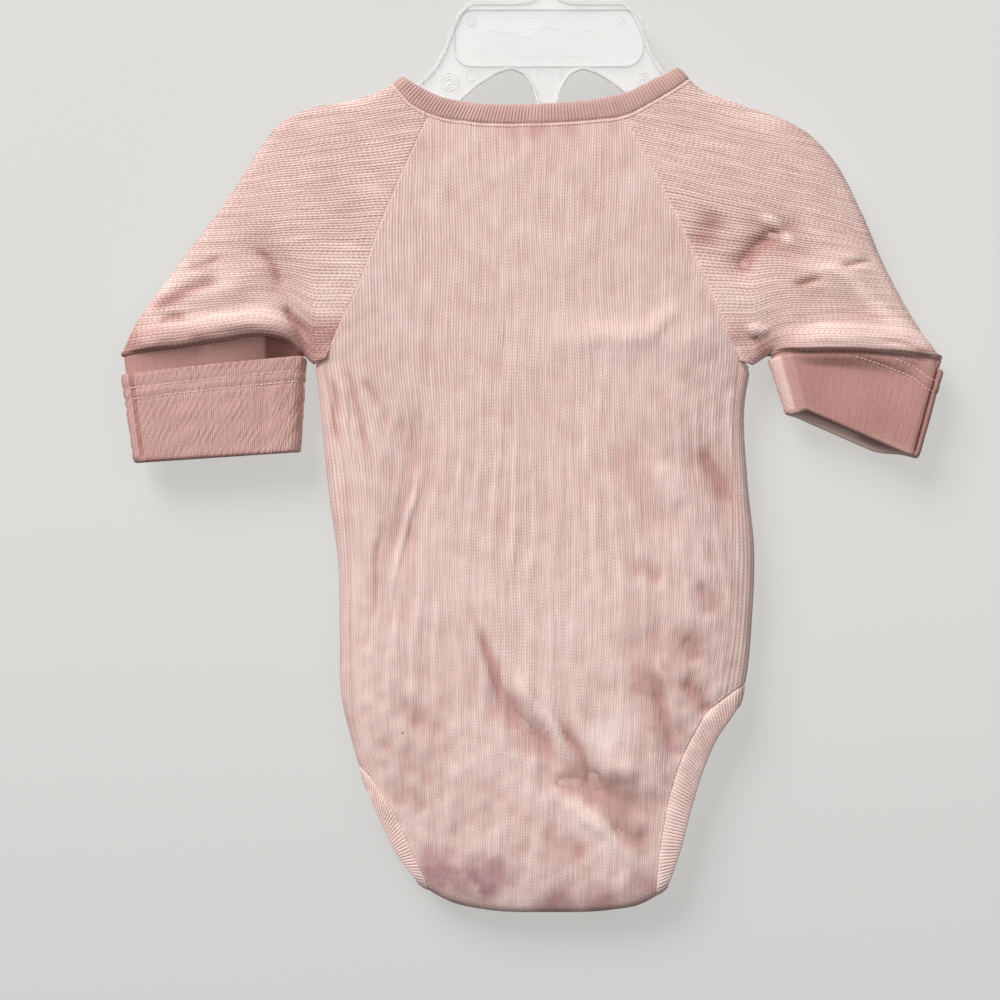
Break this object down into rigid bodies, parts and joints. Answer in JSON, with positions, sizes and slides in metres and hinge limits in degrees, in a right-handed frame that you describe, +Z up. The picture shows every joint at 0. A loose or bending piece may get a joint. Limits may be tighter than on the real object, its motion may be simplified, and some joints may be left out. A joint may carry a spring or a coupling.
{
  "type": "baby onesie on hanger",
  "caption": "Long-sleeved baby bodysuit in fine rib knit with raglan sleeves, turned-back cuffs and a snap crotch, hung nearly flat on a clear plastic hanger with its hook.",
  "frame": {"origin": "inner top of the hanger's hook, where it sits on a rail", "axes": "+Z up, +X to the right as the garment's back is seen, +Y from the back of the garment towards its front"},
  "size_m": [0.3603, 0.0231, 0.4521],
  "materials": {
    "rib_knit": "dusty pink cotton rib knit, matt with a faint fuzz",
    "cuff_knit": "the same knit's inner side, a little darker and plainer",
    "binding_rib": "doubled pink rib with raised ribs across it",
    "clear_plastic": "clear moulded polystyrene, glossy",
    "snap_metal": "small nickel-free snap, satin with a pink tint"
  },
  "bodies": {
    "root": {"back_panel": "rib_knit", "front_panel": "rib_knit", "sleeve_left": "rib_knit", "sleeve_right": "rib_knit", "cuff_left": "cuff_knit", "cuff_right": "cuff_knit", "neck_binding": "binding_rib", "leg_binding_left": "binding_rib", "leg_binding_right": "binding_rib", "hanger": "clear_plastic", "snap_cap_1": "snap_metal", "snap_cap_2": "snap_metal", "snap_cap_3": "snap_metal", "snap_core_1": "snap_metal", "snap_core_2": "snap_metal", "snap_core_3": "snap_metal", "snap_ring_1": "snap_metal", "snap_ring_2": "snap_metal", "snap_ring_3": "snap_metal"}
  },
  "joints": []
}
